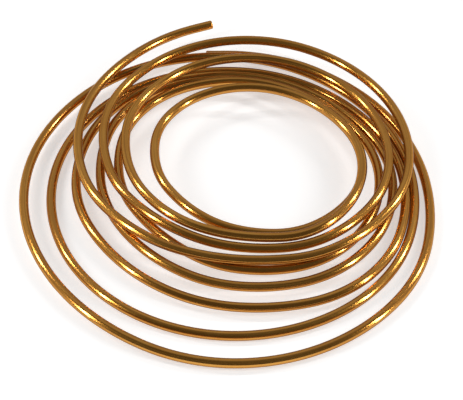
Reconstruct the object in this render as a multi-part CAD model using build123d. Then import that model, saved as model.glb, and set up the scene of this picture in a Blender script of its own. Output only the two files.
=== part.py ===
# A loose coil of soft copper tube: one tube, nine open turns lying on each other.
# Units are millimetres. Z points up, the floor is Z = 0 and the coil's free end is at the back.

from build123d import *
import math
import os

# The tube's section.
TUBE_OUTSIDE = 10.0
TUBE_WALL = 1.0
OUTER_RADIUS = TUBE_OUTSIDE / 2
BORE_RADIUS = OUTER_RADIUS - TUBE_WALL

# The tube's two cut ends run straight for this length.
END_STRAIGHT = 20.0

# The coil's turns, from the free end on top to the end on the floor. A turn starts at the back and
# goes round by the left, the front and the right. Each row has the reach of the tube's middle line
# from the coil's axis, in millimetres, at every eighth of a turn, and its height above the floor,
# in tube diameters, at every quarter of a turn.
TURNS = [
    ((235, 202, 162, 130, 123, 148, 181, 200), (2.15, 2.4, 2.4, 2.35)),
    ((202, 175, 133, 106, 108, 133, 160, 171), (2.4, 2.55, 2.6, 2.65)),
    ((168, 144, 112, 95, 97, 122, 132, 125), (2.8, 2.95, 3.1, 3.25)),
    ((118, 104, 83, 73, 83, 110, 133, 136), (3.05, 2.75, 2.4, 2.15)),
    ((140, 140, 123, 112, 126, 146, 151, 145), (1.95, 1.55, 1.35, 1.3)),
    ((149, 157, 143, 137, 148, 164, 165, 155), (1.3, 1.3, 1.25, 1.05)),
    ((160, 171, 169, 163, 172, 188, 177, 166), (0.9, 0.9, 0.9, 0.9)),
    ((170, 183, 194, 202, 205, 201, 187, 180), (0.6, 0.5, 0.5, 0.6)),
    ((188, 206, 222, 230, 239, 227, 201, 192), (1.1, 1.0, 0.6, 0.5)),
]
# The last turn runs on a little past the back, to these reaches and these heights.
RUN_ON = ((198, 208), (0.5, 0.5))

# The back of the coil is at this angle from +X, and the bent length of the tube starts and
# finishes this far past the back. The straight ends lie outside it.
BACK_ANGLE = 90.0
START_PAST_BACK = 11.6
FINISH_PAST_BACK = 3.9

FULL_TURN = 360.0
REACH_STEP = FULL_TURN / 8
HEIGHT_STEP = FULL_TURN / 4
SLOPE_STEP = 0.05


def reaches():
    values = []
    for reach, _ in TURNS:
        values.extend(reach)
    values.extend(RUN_ON[0])
    return values


def heights():
    values = []
    for _, height in TURNS:
        values.extend(height)
    values.extend(RUN_ON[1])
    return values


REACHES = reaches()
HEIGHTS = heights()


def smooth_value(values, place):
    # A smooth curve through evenly spaced values, read at a place counted in spaces.
    last = len(values) - 1
    index = min(int(place), last - 1)
    share = place - index
    before = values[max(index - 1, 0)]
    here = values[index]
    after = values[index + 1]
    beyond = values[min(index + 2, last)]
    slope_here = (after - before) / 2
    slope_after = (beyond - here) / 2
    rise = after - here
    bend = 3 * rise - 2 * slope_here - slope_after
    turn = slope_here + slope_after - 2 * rise
    return here + share * (slope_here + share * (bend + share * turn))


def point_at(angle):
    # The tube's middle line at an angle in degrees, counted on from the back of the first turn.
    reach = smooth_value(REACHES, angle / REACH_STEP)
    height = smooth_value(HEIGHTS, angle / HEIGHT_STEP) * TUBE_OUTSIDE
    heading = math.radians(BACK_ANGLE + angle)
    return Vector(reach * math.cos(heading), reach * math.sin(heading), height)


def direction_at(angle):
    return (point_at(angle + SLOPE_STEP) - point_at(angle - SLOPE_STEP)).normalized()


def arc_pair(start, start_way, finish, finish_way):
    # Two arcs that leave the start and reach the finish along the given ways and meet smoothly.
    gap = finish - start
    ways = start_way + finish_way
    a = 2 * (start_way.dot(finish_way) - 1)
    b = -2 * gap.dot(ways)
    c = gap.dot(gap)
    reach = (-b - math.sqrt(b * b - 4 * a * c)) / (2 * a)
    if reach < 0:
        reach = (-b + math.sqrt(b * b - 4 * a * c)) / (2 * a)
    first = start + start_way * reach
    second = finish - finish_way * reach
    middle = (first + second) / 2
    middle_way = (second - first).normalized()
    return [
        Edge.make_tangent_arc(start, start_way, middle),
        Edge.make_tangent_arc(middle, middle_way, finish),
    ]


def middle_line():
    whole = len(TURNS) * FULL_TURN
    angles = [START_PAST_BACK]
    for index in range(1, round(whole / REACH_STEP) + 1):
        angles.append(index * REACH_STEP)
    angles.append(whole + FINISH_PAST_BACK)
    start = point_at(angles[0])
    start_way = direction_at(angles[0])
    edges = [Edge.make_line(start - start_way * END_STRAIGHT, start)]
    for here, after in zip(angles, angles[1:]):
        edges.extend(arc_pair(point_at(here), direction_at(here), point_at(after), direction_at(after)))
    finish = point_at(angles[-1])
    finish_way = direction_at(angles[-1])
    edges.append(Edge.make_line(finish, finish + finish_way * END_STRAIGHT))
    return Wire(edges)


def copper_tube():
    path = middle_line()
    place = Plane(path @ 0, z_dir=path % 0)
    outside = place * Circle(OUTER_RADIUS)
    bore = place * Circle(BORE_RADIUS)
    section = (outside - bore).face()
    return Solid.sweep(section, path)


tube = copper_tube()
box = tube.bounding_box()
tube = Pos(-(box.min.X + box.max.X) / 2, -(box.min.Y + box.max.Y) / 2, -box.min.Z) * tube

os.makedirs("parts", exist_ok=True)
export_step(tube, "parts/copper_tube.step")
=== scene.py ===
# The looks of a loose coil of soft copper tube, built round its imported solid.
# Lengths are metres and angles degrees. The coil lies on the floor, Z = 0, with its free end at the back.

import math

import bmesh
import bpy
from mathutils import Matrix, Vector

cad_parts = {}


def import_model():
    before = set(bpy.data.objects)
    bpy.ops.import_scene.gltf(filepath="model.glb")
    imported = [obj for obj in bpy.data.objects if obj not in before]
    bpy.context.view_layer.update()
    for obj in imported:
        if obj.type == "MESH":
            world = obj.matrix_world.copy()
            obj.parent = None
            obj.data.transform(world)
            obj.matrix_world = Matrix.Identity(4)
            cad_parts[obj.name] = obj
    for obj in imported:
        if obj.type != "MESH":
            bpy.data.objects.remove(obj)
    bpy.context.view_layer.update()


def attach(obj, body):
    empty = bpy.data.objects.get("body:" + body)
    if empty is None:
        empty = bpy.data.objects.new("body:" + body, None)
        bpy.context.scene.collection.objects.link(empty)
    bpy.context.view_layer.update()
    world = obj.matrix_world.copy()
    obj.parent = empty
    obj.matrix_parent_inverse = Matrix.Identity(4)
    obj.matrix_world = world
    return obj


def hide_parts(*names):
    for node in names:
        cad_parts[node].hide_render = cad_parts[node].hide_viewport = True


MM = 0.001
PIECE_NAME = "copper_tube_drawn"

# The tube's section.
TUBE_OUTSIDE = 10.0 * MM
TUBE_WALL = 1.0 * MM
OUTER_RADIUS = TUBE_OUTSIDE / 2
BORE_RADIUS = OUTER_RADIUS - TUBE_WALL

# The tube's two cut ends run straight for this length.
END_STRAIGHT = 20.0 * MM

# The coil's turns, from the free end on top to the end on the floor. A turn starts at the back and
# goes round by the left, the front and the right. Each row has the reach of the tube's middle line
# from the coil's axis, in millimetres, at every eighth of a turn, and its height above the floor,
# in tube diameters, at every quarter of a turn.
TURNS = [
    ((235, 202, 162, 130, 123, 148, 181, 200), (2.15, 2.4, 2.4, 2.35)),
    ((202, 175, 133, 106, 108, 133, 160, 171), (2.4, 2.55, 2.6, 2.65)),
    ((168, 144, 112, 95, 97, 122, 132, 125), (2.8, 2.95, 3.1, 3.25)),
    ((118, 104, 83, 73, 83, 110, 133, 136), (3.05, 2.75, 2.4, 2.15)),
    ((140, 140, 123, 112, 126, 146, 151, 145), (1.95, 1.55, 1.35, 1.3)),
    ((149, 157, 143, 137, 148, 164, 165, 155), (1.3, 1.3, 1.25, 1.05)),
    ((160, 171, 169, 163, 172, 188, 177, 166), (0.9, 0.9, 0.9, 0.9)),
    ((170, 183, 194, 202, 205, 201, 187, 180), (0.6, 0.5, 0.5, 0.6)),
    ((188, 206, 222, 230, 239, 227, 201, 192), (1.1, 1.0, 0.6, 0.5)),
]
# The last turn runs on a little past the back, to these reaches and these heights.
RUN_ON = ((198, 208), (0.5, 0.5))

# The back of the coil is at this angle from +X, and the bent length of the tube starts and
# finishes this far past the back. The straight ends lie outside it.
BACK_ANGLE = 90.0
START_PAST_BACK = 11.6
FINISH_PAST_BACK = 3.9

FULL_TURN = 360.0
REACH_STEP = FULL_TURN / 8
HEIGHT_STEP = FULL_TURN / 4
SLOPE_STEP = 0.05

# How finely the drawn tube follows its middle line and how many sides it has.
STEP_LENGTH = 5.0 * MM
RING_SIDES = 24

# The cutter's rolled lip at each cut end: the length over which both walls narrow towards the cut,
# what is left of each radius there, and the rings that shape it, in millimetres from the cut.
LIP_LENGTH = 1.3 * MM
LIP_OUTER = 0.93
LIP_BORE = 0.93
LIP_PLACES = [0.0, 0.15, 0.4, 0.8, 1.3, 2.0, 3.0]

# The tube's two walls, by the inputs of its node group that give the radius and the lip, with the
# mark that each carries: 0 on the outer wall and 1 in the bore.
WALLS = (("Outer Radius", "Lip Outer Scale", 0.0), ("Bore Radius", "Lip Bore Scale", 1.0))

# The copper's colours. The skin is golden where it is clean and browner where it has dulled, the cut
# ends are fresh metal, and the bore is dull.
COPPER_GOLD = (0.70, 0.330, 0.050)
COPPER_WARM = (0.66, 0.288, 0.036)
COPPER_BROWN = (0.46, 0.187, 0.020)
COPPER_CUT = (0.64, 0.31, 0.085)
COPPER_BORE = (0.30, 0.11, 0.025)
EDGE_TINT = (0.20, 0.20, 0.18)

# The copper's polish.
SKIN_ROUGHNESS_LOW = 0.135
SKIN_ROUGHNESS_HIGH = 0.165
DULL_LINE_ROUGHNESS = 0.06
CUT_ROUGHNESS = 0.48
BORE_ROUGHNESS = 0.50
METAL_SHARE = 0.88
SKIN_SHINE = 0.3

# A thin clear film, left from drawing, that makes the highlights paler than the metal.
FILM_WEIGHT = 0.17
FILM_ROUGHNESS = 0.12
FILM_INDEX = 2.4

# The sizes of the draw lines that run along the tube, and of its patches, specks and faint dents.
WIDE_LINE = 1.6 * MM
WIDE_LINE_LENGTH = 220.0 * MM
FINE_LINE = 0.5 * MM
FINE_LINE_LENGTH = 90.0 * MM
LINE_DEPTH = 0.003 * MM
FINE_LINE_SHARE = 0.35
CLOUD_SIZE = 28.0 * MM
SPECK_SIZE = 3.0 * MM
DENT_SIZE = 9.0 * MM
DENT_DEPTH = 0.012 * MM

# How each of these patterns varies: its levels of finer detail, and how strong they are.
WIDE_LINE_GRAIN = (2.0, 0.5)
FINE_LINE_GRAIN = (3.0, 0.5)
CLOUD_GRAIN = (3.0, 0.6)
SPECK_GRAIN = (2.0, 0.6)
DENT_GRAIN = (1.0, 0.5)

# Between which two levels of its pattern, from 0 to 1, each change of colour or polish comes in, and
# how strong the browner ones become.
GOLD_PATCHES = (0.35, 0.65)
BROWN_LINES = (0.43, 0.60)
BROWN_LINE_SHARE = 0.90
BROWN_SPECKS = (0.60, 0.78)
BROWN_SPECK_SHARE = 0.5
DULL_PATCHES = (0.3, 0.7)
DULL_LINES = (0.4, 0.8)

# Across a cut rim the mark of the walls runs from 0 to 1. The skin ends and the bore begins here.
OFF_SKIN = (0.02, 0.10)
IN_BORE = (0.90, 0.98)

# The camera, as it was fitted to the photograph. It looks at a point on the floor near the coil's
# axis, and its focal length and shifts are in pixels of the photograph.
PHOTO_WIDTH = 463
AIM = Vector((-5.0, -20.0, 0.0)) * MM
CAMERA_ELEVATION = 47.605
CAMERA_DISTANCE = 1.776
FOCAL_PIXELS = 1686.2
SHIFT_RIGHT = -0.291
SHIFT_DOWN = -0.431
SENSOR_WIDTH = 36.0
SEEN_TO = 100.0

# Four soft lamps, two on each side: place, width, height and power.
LAMPS = {
    "right_near_lamp": ((1.30, -0.45, 0.65), 0.10, 1.10, 9.5),
    "right_far_lamp": ((1.20, 0.42, 0.92), 0.09, 0.90, 6.2),
    "left_far_lamp": ((-1.20, 0.42, 1.05), 0.09, 0.90, 6.2),
    "left_near_lamp": ((-1.30, -0.45, 0.75), 0.10, 1.10, 9.5),
}

# The room is dark behind and above the camera and pale elsewhere, and white below the horizon.
DARK_SIDE = (0.0, -0.77, 0.64)
DARK_FROM = 0.15
DARK_TO = 0.62
ROOM_LIGHT = 0.41
ROOM_DARK = 0.068
HORIZON_LIGHT = 1.0
HORIZON_WHITE = 0.02
HORIZON_END = 0.08

# The white floor, which glows a little to the camera and in the copper, and more far out.
FLOOR_HALF = 12.0
FLOOR_WHITE = 0.66
FLOOR_ROUGHNESS = 0.9
FLOOR_GLOW = 0.53
FLOOR_GLOW_FAR = 0.85
FLOOR_NEAR = 0.6
FLOOR_FAR = 3.5


def reaches():
    """The reach of the middle line at every eighth of a turn, for the whole tube."""
    values = []
    for reach, _ in TURNS:
        values.extend(reach)
    values.extend(RUN_ON[0])
    return values


def heights():
    """The height of the middle line at every quarter of a turn, for the whole tube."""
    values = []
    for _, height in TURNS:
        values.extend(height)
    values.extend(RUN_ON[1])
    return values


REACHES = reaches()
HEIGHTS = heights()


def smooth_value(values, place):
    """A smooth curve through evenly spaced values, read at a place counted in spaces."""
    last = len(values) - 1
    index = min(int(place), last - 1)
    share = place - index
    before = values[max(index - 1, 0)]
    here = values[index]
    after = values[index + 1]
    beyond = values[min(index + 2, last)]
    slope_here = (after - before) / 2
    slope_after = (beyond - here) / 2
    rise = after - here
    bend = 3 * rise - 2 * slope_here - slope_after
    turn = slope_here + slope_after - 2 * rise
    return here + share * (slope_here + share * (bend + share * turn))


def point_at(angle):
    """The tube's middle line at an angle in degrees, counted on from the back of the first turn."""
    reach = smooth_value(REACHES, angle / REACH_STEP) * MM
    height = smooth_value(HEIGHTS, angle / HEIGHT_STEP) * TUBE_OUTSIDE
    heading = math.radians(BACK_ANGLE + angle)
    return Vector((reach * math.cos(heading), reach * math.sin(heading), height))


def direction_at(angle):
    return (point_at(angle + SLOPE_STEP) - point_at(angle - SLOPE_STEP)).normalized()


def arc_points(start, way, finish):
    """Points on the arc that leaves the start along its way and ends at the finish, the start left out."""
    chord = finish - start
    half_turn = way.angle(chord)
    side = (chord - way * chord.dot(way)).normalized()
    radius = chord.length / (2 * math.sin(half_turn))
    count = max(1, round(radius * 2 * half_turn / STEP_LENGTH))
    points = []
    for index in range(1, count + 1):
        turn = 2 * half_turn * (index / count)
        points.append(start + (way * math.sin(turn) + side * (1 - math.cos(turn))) * radius)
    return points


def arc_pair(start, start_way, finish, finish_way):
    """Two arcs that leave the start and reach the finish along the given ways and meet smoothly."""
    gap = finish - start
    ways = start_way + finish_way
    a = 2 * (start_way.dot(finish_way) - 1)
    b = -2 * gap.dot(ways)
    c = gap.dot(gap)
    reach = (-b - math.sqrt(b * b - 4 * a * c)) / (2 * a)
    if reach < 0:
        reach = (-b + math.sqrt(b * b - 4 * a * c)) / (2 * a)
    first = start + start_way * reach
    second = finish - finish_way * reach
    middle = (first + second) / 2
    middle_way = (second - first).normalized()
    return arc_points(start, start_way, middle) + arc_points(middle, middle_way, finish)


def bend_angles():
    """The angles at which the pairs of arcs meet, from the start of the bent length to its finish."""
    whole = len(TURNS) * FULL_TURN
    angles = [START_PAST_BACK]
    for index in range(1, round(whole / REACH_STEP) + 1):
        angles.append(index * REACH_STEP)
    angles.append(whole + FINISH_PAST_BACK)
    return angles


def end_places():
    """How far from a cut end each point of its straight length lies, closest together at the lip."""
    places = [place * MM for place in LIP_PLACES]
    while places[-1] + STEP_LENGTH < END_STRAIGHT:
        places.append(places[-1] + STEP_LENGTH)
    return places


def middle_line():
    """Points along the tube's middle line, from the free end's cut to the other end's cut."""
    angles = bend_angles()
    start = point_at(angles[0])
    start_way = direction_at(angles[0])
    finish = point_at(angles[-1])
    finish_way = direction_at(angles[-1])
    tip = start - start_way * END_STRAIGHT
    tail = finish + finish_way * END_STRAIGHT
    points = [tip + start_way * place for place in end_places()]
    points.append(start)
    for here, after in zip(angles, angles[1:]):
        points.extend(arc_pair(point_at(here), direction_at(here), point_at(after), direction_at(after)))
    points.extend(tail - finish_way * place for place in reversed(end_places()))
    return points


def link(tree, source, target):
    tree.links.new(source, target)


def give(tree, value, target):
    """Sets an input to a number, or links it to another node's output."""
    if isinstance(value, (int, float)):
        target.default_value = value
    else:
        link(tree, value, target)


def maths(tree, operation, first, second):
    node = tree.nodes.new("ShaderNodeMath")
    node.operation = operation
    give(tree, first, node.inputs[0])
    give(tree, second, node.inputs[1])
    return node.outputs[0]


def ranged(tree, value, levels, results, smooth=False):
    """Turns a value that runs between two levels into one that runs between two results."""
    node = tree.nodes.new("ShaderNodeMapRange")
    if smooth:
        node.interpolation_type = "SMOOTHSTEP"
    give(tree, levels[0], node.inputs["From Min"])
    give(tree, levels[1], node.inputs["From Max"])
    give(tree, results[0], node.inputs["To Min"])
    give(tree, results[1], node.inputs["To Max"])
    give(tree, value, node.inputs["Value"])
    return node.outputs["Result"]


def shown(tree, pattern, levels, most=1.0):
    """How strongly a change shows: not at all up to its first level, and the most from its second."""
    return ranged(tree, pattern, levels, (0.0, most))


def socket(tree, name, kind, value, low):
    made = tree.interface.new_socket(name, in_out="INPUT", socket_type=kind)
    made.default_value = value
    made.min_value = low


def tube_sockets(tree):
    """The measures that the drawn tube's node group takes."""
    tree.interface.new_socket("Line", in_out="INPUT", socket_type="NodeSocketGeometry")
    socket(tree, "Outer Radius", "NodeSocketFloat", OUTER_RADIUS, 0.0)
    socket(tree, "Bore Radius", "NodeSocketFloat", BORE_RADIUS, 0.0)
    socket(tree, "Ring Sides", "NodeSocketInt", RING_SIDES, 3)
    socket(tree, "Lip Length", "NodeSocketFloat", LIP_LENGTH, 0.0)
    socket(tree, "Lip Outer Scale", "NodeSocketFloat", LIP_OUTER, 0.0)
    socket(tree, "Lip Bore Scale", "NodeSocketFloat", LIP_BORE, 0.0)
    tree.interface.new_socket("Tube", in_out="OUTPUT", socket_type="NodeSocketGeometry")


def stored(tree, curve, name, value, kind="FLOAT"):
    """Keeps a value at each point of a curve, by a name that the copper's material reads."""
    node = tree.nodes.new("GeometryNodeStoreNamedAttribute")
    node.data_type = kind
    node.domain = "POINT"
    node.inputs["Name"].default_value = name
    link(tree, curve, node.inputs["Geometry"])
    give(tree, value, node.inputs["Value"])
    return node.outputs["Geometry"]


def measured_line(tree, given):
    """The line as a curve that keeps its length along, and how far each point is from the nearer cut."""
    line = tree.nodes.new("GeometryNodeMeshToCurve")
    link(tree, given.outputs["Line"], line.inputs["Mesh"])
    upright = tree.nodes.new("GeometryNodeSetCurveNormal")
    upright.mode = "Z_UP"
    link(tree, line.outputs["Curve"], upright.inputs["Curve"])
    along = tree.nodes.new("GeometryNodeSplineParameter").outputs["Length"]
    whole = tree.nodes.new("GeometryNodeSplineLength").outputs["Length"]
    from_cut = maths(tree, "MINIMUM", along, maths(tree, "SUBTRACT", whole, along))
    return stored(tree, upright.outputs["Curve"], "along", along), from_cut


def swept_wall(tree, line, radius, lip, sides, inside):
    """One wall of the tube: a ring swept along the line and scaled by the lip."""
    ring = tree.nodes.new("GeometryNodeCurvePrimitiveCircle")
    link(tree, sides, ring.inputs["Resolution"])
    link(tree, radius, ring.inputs["Radius"])
    place = tree.nodes.new("GeometryNodeInputPosition").outputs["Position"]
    marked = stored(tree, ring.outputs["Curve"], "ring", place, "FLOAT_VECTOR")
    marked = stored(tree, marked, "inside", inside)
    sweep = tree.nodes.new("GeometryNodeCurveToMesh")
    link(tree, line, sweep.inputs["Curve"])
    link(tree, marked, sweep.inputs["Profile Curve"])
    link(tree, lip, sweep.inputs["Scale"])
    return sweep.outputs["Mesh"]


def tube_tree(material):
    """Sweeps a tube with an outer and an inner wall along a line, and narrows both towards each cut end."""
    tree = bpy.data.node_groups.new("drawn_tube", "GeometryNodeTree")
    tube_sockets(tree)
    given = tree.nodes.new("NodeGroupInput")
    line, from_cut = measured_line(tree, given)
    joined = tree.nodes.new("GeometryNodeJoinGeometry")
    for radius, lip_scale, inside in WALLS:
        lip_levels = (0.0, given.outputs["Lip Length"])
        lip = ranged(tree, from_cut, lip_levels, (given.outputs[lip_scale], 1.0), smooth=True)
        wall = swept_wall(tree, line, given.outputs[radius], lip, given.outputs["Ring Sides"], inside)
        link(tree, wall, joined.inputs["Geometry"])
    rounded = tree.nodes.new("GeometryNodeSetShadeSmooth")
    link(tree, joined.outputs["Geometry"], rounded.inputs["Geometry"])
    coloured = tree.nodes.new("GeometryNodeSetMaterial")
    coloured.inputs["Material"].default_value = material
    link(tree, rounded.outputs["Geometry"], coloured.inputs["Geometry"])
    out = tree.nodes.new("NodeGroupOutput")
    link(tree, coloured.outputs["Geometry"], out.inputs["Tube"])
    return tree


def close_rims(mesh):
    """Joins the bore to the outer wall at each cut end, with every face pointing outwards."""
    build = bmesh.new()
    build.from_mesh(mesh)
    build.verts.ensure_lookup_table()
    wall = len(build.verts) // 2
    for ring in (0, wall - RING_SIDES):
        for side in range(RING_SIDES):
            here = ring + side
            after = ring + (side + 1) % RING_SIDES
            corners = (here, after, after + wall, here + wall)
            build.faces.new([build.verts[index] for index in corners])
    bmesh.ops.recalc_face_normals(build, faces=build.faces)
    build.to_mesh(mesh)
    build.free()


def swept_mesh(material):
    """The tube's mesh, with open ends, swept along its middle line."""
    points = middle_line()
    line = bpy.data.meshes.new("middle_line")
    line.from_pydata(points, [(index, index + 1) for index in range(len(points) - 1)], [])
    guide = bpy.data.objects.new("middle_line", line)
    bpy.context.scene.collection.objects.link(guide)
    guide.modifiers.new("tube", "NODES").node_group = tube_tree(material)
    graph = bpy.context.evaluated_depsgraph_get()
    mesh = bpy.data.meshes.new_from_object(guide.evaluated_get(graph))
    bpy.data.objects.remove(guide)
    return mesh


def drawn_tube(material):
    """The drawn tube, centred over the origin and resting on the floor, and how far it was moved."""
    mesh = swept_mesh(material)
    close_rims(mesh)
    low = Vector(min(vert.co[axis] for vert in mesh.vertices) for axis in range(3))
    high = Vector(max(vert.co[axis] for vert in mesh.vertices) for axis in range(3))
    shift = Vector((-(low.x + high.x) / 2, -(low.y + high.y) / 2, -low.z))
    for vert in mesh.vertices:
        vert.co += shift
    mesh.name = PIECE_NAME
    piece = bpy.data.objects.new(PIECE_NAME, mesh)
    bpy.context.scene.collection.objects.link(piece)
    return piece, shift


def shader(name):
    material = bpy.data.materials.new(name)
    material.use_nodes = True
    nodes = material.node_tree.nodes
    nodes.clear()
    out = nodes.new("ShaderNodeOutputMaterial")
    principled = nodes.new("ShaderNodeBsdfPrincipled")
    link(material.node_tree, principled.outputs["BSDF"], out.inputs["Surface"])
    return material, principled, out


def attribute(tree, name):
    node = tree.nodes.new("ShaderNodeAttribute")
    node.attribute_name = name
    return node


def noise(tree, place, scale, grain):
    node = tree.nodes.new("ShaderNodeTexNoise")
    node.inputs["Scale"].default_value = scale
    node.inputs["Detail"].default_value = grain[0]
    node.inputs["Roughness"].default_value = grain[1]
    link(tree, place, node.inputs["Vector"])
    return node.outputs["Fac"]


def mixed(tree, share, first, second):
    """A colour between two others, by the share."""
    node = tree.nodes.new("ShaderNodeMix")
    node.data_type = "RGBA"
    link(tree, share, node.inputs["Factor"])
    for name, value in (("A", first), ("B", second)):
        target = [entry for entry in node.inputs if entry.name == name and entry.type == "RGBA"][0]
        if isinstance(value, tuple):
            target.default_value = (*value, 1.0)
        else:
            link(tree, value, target)
    return [entry for entry in node.outputs if entry.type == "RGBA"][0]


def blended(tree, share, first, second):
    """A number between two others, by the share."""
    span = maths(tree, "SUBTRACT", second, first)
    return maths(tree, "ADD", maths(tree, "MULTIPLY", span, share), first)


def bump(tree, height, depth):
    node = tree.nodes.new("ShaderNodeBump")
    node.inputs["Strength"].default_value = 1.0
    node.inputs["Distance"].default_value = depth
    link(tree, height, node.inputs["Height"])
    return node


def draw_lines(tree, line_width, line_length, grain):
    """Lines along the tube, by their width round it and their length along it."""
    ring = tree.nodes.new("ShaderNodeSeparateXYZ")
    link(tree, attribute(tree, "ring").outputs["Vector"], ring.inputs[0])
    along = attribute(tree, "along").outputs["Fac"]
    place = tree.nodes.new("ShaderNodeCombineXYZ")
    link(tree, maths(tree, "DIVIDE", ring.outputs["X"], line_width), place.inputs["X"])
    link(tree, maths(tree, "DIVIDE", ring.outputs["Y"], line_width), place.inputs["Y"])
    link(tree, maths(tree, "DIVIDE", along, line_length), place.inputs["Z"])
    return noise(tree, place.outputs["Vector"], 1.0, grain)


def skin_colour(tree, clouds, wide_lines, specks):
    """Golden and warmer patches, browner draw lines and brown specks."""
    skin = mixed(tree, shown(tree, clouds, GOLD_PATCHES), COPPER_WARM, COPPER_GOLD)
    dulled = mixed(tree, shown(tree, wide_lines, BROWN_LINES, BROWN_LINE_SHARE), skin, COPPER_BROWN)
    return mixed(tree, shown(tree, specks, BROWN_SPECKS, BROWN_SPECK_SHARE), dulled, COPPER_BROWN)


def skin_roughness(tree, clouds, fine_lines):
    """Brighter and duller patches with duller fine draw lines."""
    polish = ranged(tree, clouds, DULL_PATCHES, (SKIN_ROUGHNESS_LOW, SKIN_ROUGHNESS_HIGH))
    return maths(tree, "ADD", polish, shown(tree, fine_lines, DULL_LINES, DULL_LINE_ROUGHNESS))


def skin_relief(tree, place, wide_lines, fine_lines):
    """The depth of the draw lines, with faint dents over them."""
    both_lines = maths(tree, "ADD", wide_lines, maths(tree, "MULTIPLY", fine_lines, FINE_LINE_SHARE))
    lines = bump(tree, both_lines, LINE_DEPTH)
    dents = bump(tree, noise(tree, place, 1 / DENT_SIZE, DENT_GRAIN), DENT_DEPTH)
    link(tree, lines.outputs["Normal"], dents.inputs["Normal"])
    return dents.outputs["Normal"]


def copper_material():
    material, principled, _ = shader("soft_copper")
    tree = material.node_tree
    place = tree.nodes.new("ShaderNodeTexCoord").outputs["Object"]
    wide_lines = draw_lines(tree, WIDE_LINE, WIDE_LINE_LENGTH, WIDE_LINE_GRAIN)
    fine_lines = draw_lines(tree, FINE_LINE, FINE_LINE_LENGTH, FINE_LINE_GRAIN)
    clouds = noise(tree, place, 1 / CLOUD_SIZE, CLOUD_GRAIN)
    specks = noise(tree, place, 1 / SPECK_SIZE, SPECK_GRAIN)
    inside = attribute(tree, "inside").outputs["Fac"]
    off_skin = shown(tree, inside, OFF_SKIN)
    in_bore = shown(tree, inside, IN_BORE)

    cut = mixed(tree, off_skin, skin_colour(tree, clouds, wide_lines, specks), COPPER_CUT)
    link(tree, mixed(tree, in_bore, cut, COPPER_BORE), principled.inputs["Base Color"])
    sawn = blended(tree, off_skin, skin_roughness(tree, clouds, fine_lines), CUT_ROUGHNESS)
    link(tree, blended(tree, in_bore, sawn, BORE_ROUGHNESS), principled.inputs["Roughness"])
    link(tree, skin_relief(tree, place, wide_lines, fine_lines), principled.inputs["Normal"])

    principled.inputs["Metallic"].default_value = METAL_SHARE
    principled.inputs["Specular IOR Level"].default_value = SKIN_SHINE
    principled.inputs["Specular Tint"].default_value = (*EDGE_TINT, 1.0)
    principled.inputs["Coat Weight"].default_value = FILM_WEIGHT
    principled.inputs["Coat Roughness"].default_value = FILM_ROUGHNESS
    principled.inputs["Coat IOR"].default_value = FILM_INDEX
    return material


def floor_glow(tree):
    """A glow that only the camera and the copper see, brighter far from the coil."""
    path = tree.nodes.new("ShaderNodeLightPath")
    seen = maths(tree, "MAXIMUM", path.outputs["Is Camera Ray"], path.outputs["Is Glossy Ray"])
    seen = maths(tree, "MAXIMUM", seen, path.outputs["Is Transmission Ray"])
    reach = tree.nodes.new("ShaderNodeVectorMath")
    reach.operation = "LENGTH"
    link(tree, tree.nodes.new("ShaderNodeTexCoord").outputs["Object"], reach.inputs[0])
    far_out = (FLOOR_NEAR, FLOOR_FAR)
    level = ranged(tree, reach.outputs["Value"], far_out, (FLOOR_GLOW, FLOOR_GLOW_FAR))
    glow = tree.nodes.new("ShaderNodeEmission")
    link(tree, maths(tree, "MULTIPLY", seen, level), glow.inputs["Strength"])
    return glow.outputs["Emission"]


def floor_material():
    material, principled, out = shader("white_sweep")
    principled.inputs["Base Color"].default_value = (FLOOR_WHITE, FLOOR_WHITE, FLOOR_WHITE, 1.0)
    principled.inputs["Roughness"].default_value = FLOOR_ROUGHNESS
    tree = material.node_tree
    both = tree.nodes.new("ShaderNodeAddShader")
    link(tree, principled.outputs["BSDF"], both.inputs[0])
    link(tree, floor_glow(tree), both.inputs[1])
    link(tree, both.outputs["Shader"], out.inputs["Surface"])
    return material


def floor():
    sides = ((-1, -1), (1, -1), (1, 1), (-1, 1))
    corners = [(right * FLOOR_HALF, back * FLOOR_HALF, 0.0) for right, back in sides]
    mesh = bpy.data.meshes.new("floor")
    mesh.from_pydata(corners, [], [(0, 1, 2, 3)])
    mesh.materials.append(floor_material())
    piece = bpy.data.objects.new("floor", mesh)
    bpy.context.scene.collection.objects.link(piece)


def view_back():
    """The way from the coil to the camera."""
    rise = math.radians(CAMERA_ELEVATION)
    return Vector((0.0, -math.cos(rise), math.sin(rise)))


def lamp_axes(place):
    """The lamp faces the coil, and its long side lies so that the camera sees it run across the tube."""
    away = Vector(place).normalized()
    view = view_back()
    skin = (away + view).normalized()
    tilt = (Vector((0.0, 0.0, 1.0)) - skin * skin.z).normalized()
    long_side = (skin * tilt.dot(view) + tilt * skin.dot(view)).normalized()
    return Matrix((long_side.cross(away), long_side, away)).transposed()


def lamp(name, place, width, height, power):
    data = bpy.data.lights.new(name, "AREA")
    data.shape = "ELLIPSE"
    data.size = width
    data.size_y = height
    data.energy = power
    piece = bpy.data.objects.new(name, data)
    piece.location = place
    piece.rotation_euler = lamp_axes(place).to_euler()
    bpy.context.scene.collection.objects.link(piece)


def lamps():
    for name, (place, width, height, power) in LAMPS.items():
        lamp(name, place, width, height, power)


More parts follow.
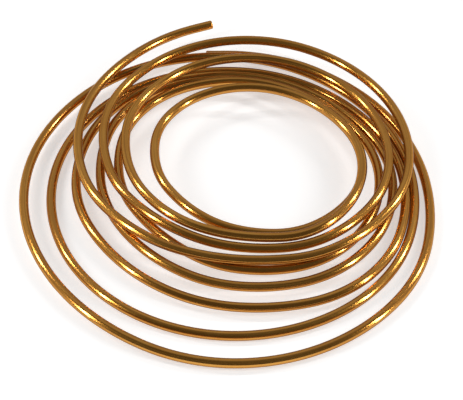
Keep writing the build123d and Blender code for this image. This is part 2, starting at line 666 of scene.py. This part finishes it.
def room_level(tree):
    """How bright the room is each way from the coil."""
    way = tree.nodes.new("ShaderNodeTexCoord").outputs["Generated"]
    toward = tree.nodes.new("ShaderNodeVectorMath")
    toward.operation = "DOT_PRODUCT"
    toward.inputs[1].default_value = DARK_SIDE
    link(tree, way, toward.inputs[0])
    split = tree.nodes.new("ShaderNodeSeparateXYZ")
    link(tree, way, split.inputs[0])
    dark_levels = (DARK_FROM, DARK_TO)
    room = ranged(tree, toward.outputs["Value"], dark_levels, (ROOM_LIGHT, ROOM_DARK), smooth=True)
    horizon = ranged(tree, split.outputs["Z"], (HORIZON_WHITE, HORIZON_END), (1.0, 0.0), smooth=True)
    level = tree.nodes.new("ShaderNodeMix")
    link(tree, horizon, level.inputs["Factor"])
    link(tree, room, level.inputs["A"])
    level.inputs["B"].default_value = HORIZON_LIGHT
    return level.outputs["Result"]


def world():
    scene_world = bpy.data.worlds.new("studio")
    bpy.context.scene.world = scene_world
    scene_world.use_nodes = True
    tree = scene_world.node_tree
    tree.nodes.clear()
    back = tree.nodes.new("ShaderNodeBackground")
    back.inputs["Color"].default_value = (1.0, 1.0, 1.0, 1.0)
    link(tree, room_level(tree), back.inputs["Strength"])
    out = tree.nodes.new("ShaderNodeOutputWorld")
    link(tree, back.outputs["Background"], out.inputs["Surface"])


def camera(shift):
    """The camera is moved with the tube, so that it sees the coil as it was fitted."""
    data = bpy.data.cameras.new("camera")
    data.sensor_fit = "HORIZONTAL"
    data.sensor_width = SENSOR_WIDTH
    data.lens = FOCAL_PIXELS / PHOTO_WIDTH * SENSOR_WIDTH
    data.shift_x = -SHIFT_RIGHT / PHOTO_WIDTH
    data.shift_y = SHIFT_DOWN / PHOTO_WIDTH
    data.clip_end = SEEN_TO
    piece = bpy.data.objects.new("camera", data)
    back = view_back()
    piece.location = AIM + shift + back * CAMERA_DISTANCE
    piece.rotation_euler = back.to_track_quat("Z", "Y").to_euler()
    bpy.context.scene.collection.objects.link(piece)
    bpy.context.scene.camera = piece


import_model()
tube, moved = drawn_tube(copper_material())
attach(tube, "root")
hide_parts("copper_tube")
floor()
lamps()
world()
camera(moved)
bpy.context.scene.view_settings.view_transform = "Standard"
